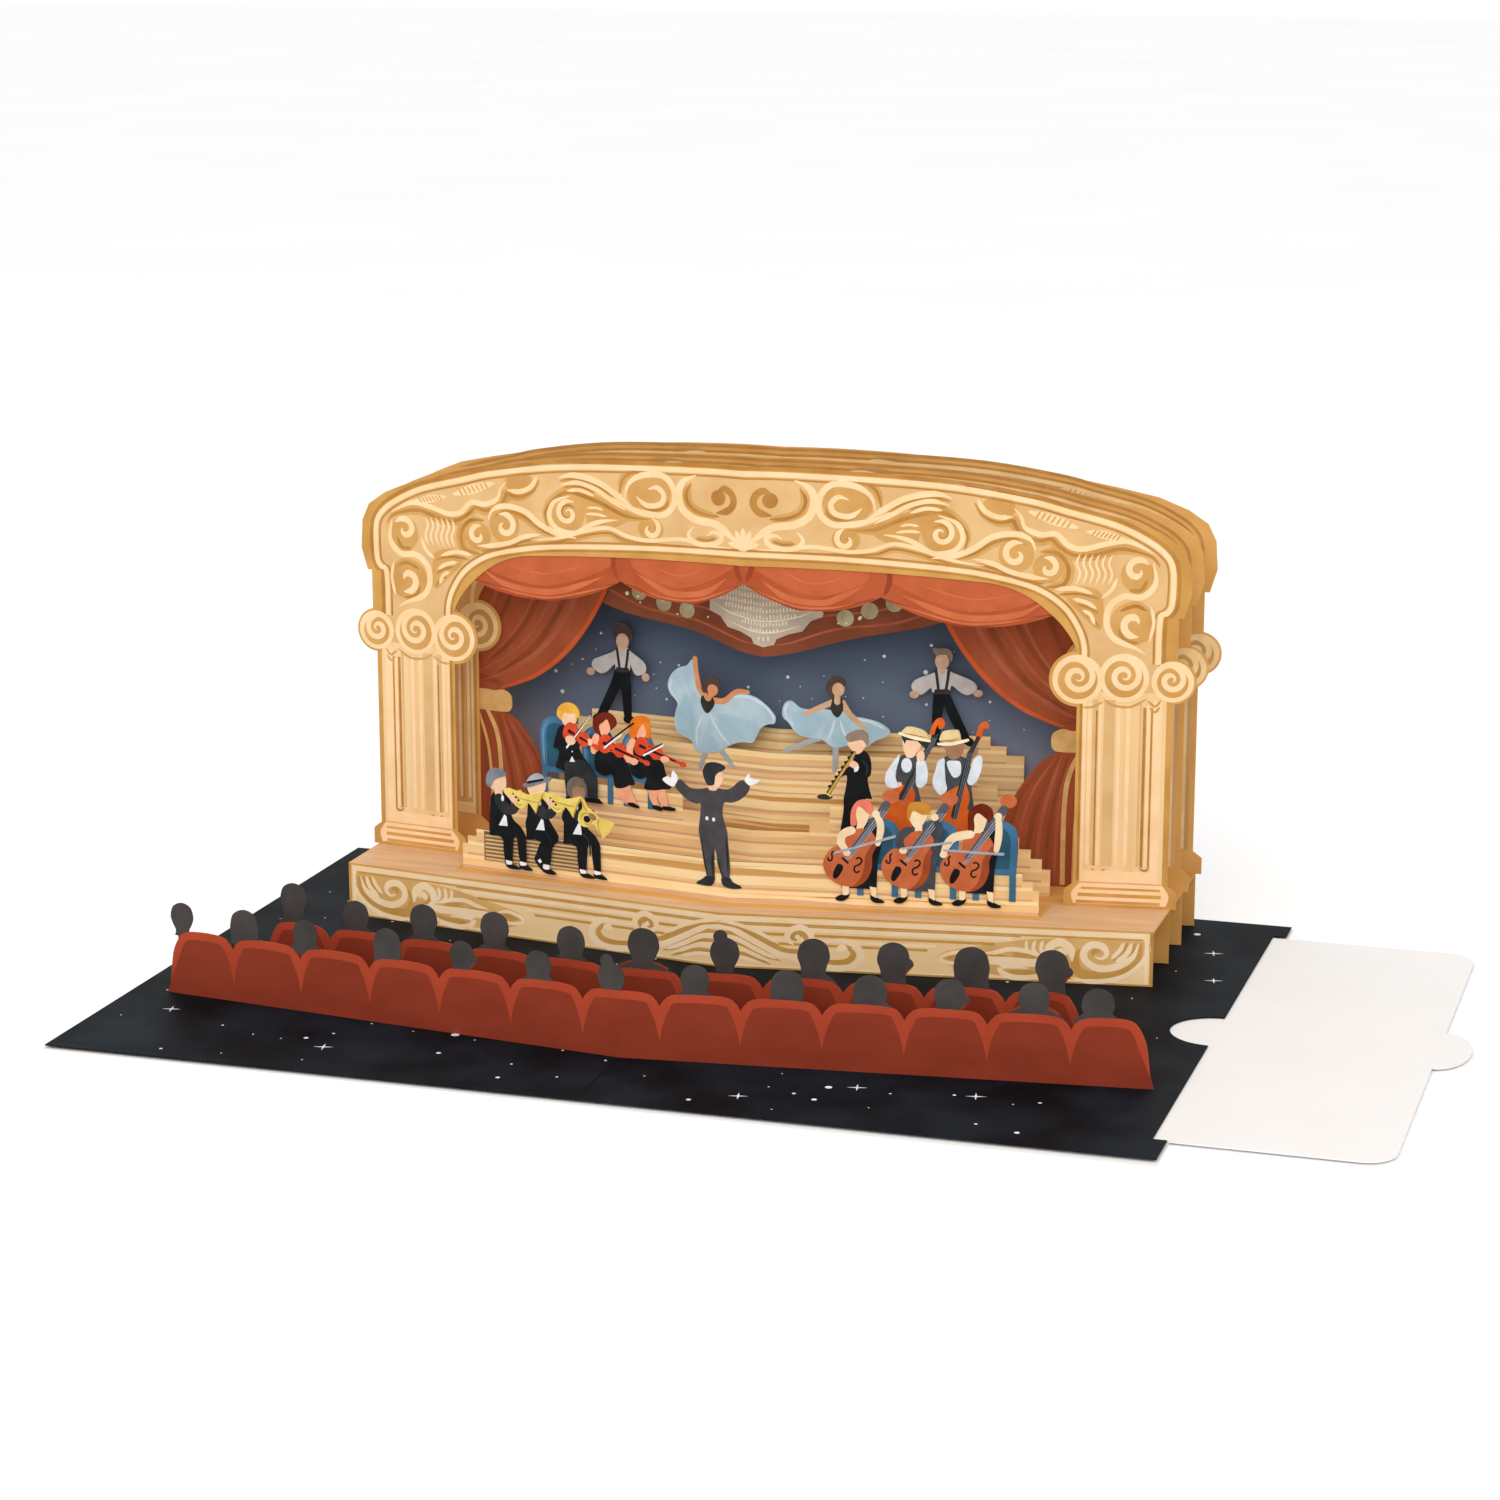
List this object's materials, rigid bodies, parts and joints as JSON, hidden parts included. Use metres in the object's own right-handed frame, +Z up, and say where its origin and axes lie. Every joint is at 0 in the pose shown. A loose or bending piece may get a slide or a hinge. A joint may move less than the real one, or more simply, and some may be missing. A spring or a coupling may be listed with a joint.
{
  "type": "pop-up greeting card",
  "caption": "Open pop-up card with a three-layer theatre stage, orchestra and dancers, two rows of seats and a note card that slides out of a side pocket",
  "frame": {"origin": "underside of the open cover, at the middle of its fold", "axes": "+X to the right as the audience sees the stage, toward the side the note card slides out; +Y away from the audience, along the fold; +Z up"},
  "size_m": [0.3076, 0.178, 0.1197],
  "materials": {
    "white_card": "smooth white card",
    "night_sheet": "matt printed card",
    "seat_paper": "matt printed card",
    "gold_print": "matt printed card",
    "plank_print": "matt printed card",
    "gold_paper": "matt printed card",
    "valance_print": "matt printed card",
    "curtain_print": "matt printed card",
    "chandelier_print": "matt printed card",
    "chair_print": "matt printed card",
    "dress_print": "matt printed card",
    "suit_print": "matt printed card"
  },
  "bodies": {
    "card": {"arch_back": "gold_print", "arch_front": "gold_print", "arch_middle": "gold_print", "ballerina_one": "dress_print", "ballerina_two": "dress_print", "bass_player_one": "suit_print", "bass_player_two": "suit_print", "cellist_one": "suit_print", "cellist_three": "suit_print", "cellist_two": "suit_print", "cello_chairs": "chair_print", "chandelier": "chandelier_print", "chandelier_drape": "valance_print", "conductor": "suit_print", "cover": "white_card", "cross_rib_left_1": "gold_paper", "cross_rib_left_2": "gold_paper", "cross_rib_left_3": "gold_paper", "cross_rib_right_1": "gold_paper", "cross_rib_right_2": "gold_paper", "cross_rib_right_3": "gold_paper", "curtain_left": "curtain_print", "curtain_right": "curtain_print", "dancer_left": "suit_print", "dancer_right": "suit_print", "horn_player": "suit_print", "inner_sheet": "night_sheet", "oboe_player": "suit_print", "pocket_strips": "white_card", "seat_row_back": "seat_paper", "seat_row_front": "seat_paper", "slatted_bench": "plank_print", "stage_apron": "gold_print", "stage_floor": "plank_print", "stair_front": "plank_print", "stair_middle": "plank_print", "stair_rear": "plank_print", "stair_top": "plank_print", "trumpeter_one": "suit_print", "trumpeter_two": "suit_print", "valance": "valance_print", "violin_chairs": "chair_print", "violinist_one": "suit_print", "violinist_three": "suit_print", "violinist_two": "suit_print"},
    "note_card": {"note_card": "white_card"}
  },
  "joints": [
    {"name": "note_slide", "type": "slide", "parent": "card", "child": "note_card", "axis": [1, 0, 0], "range_m": [-0.0555, 0.055]}
  ]
}
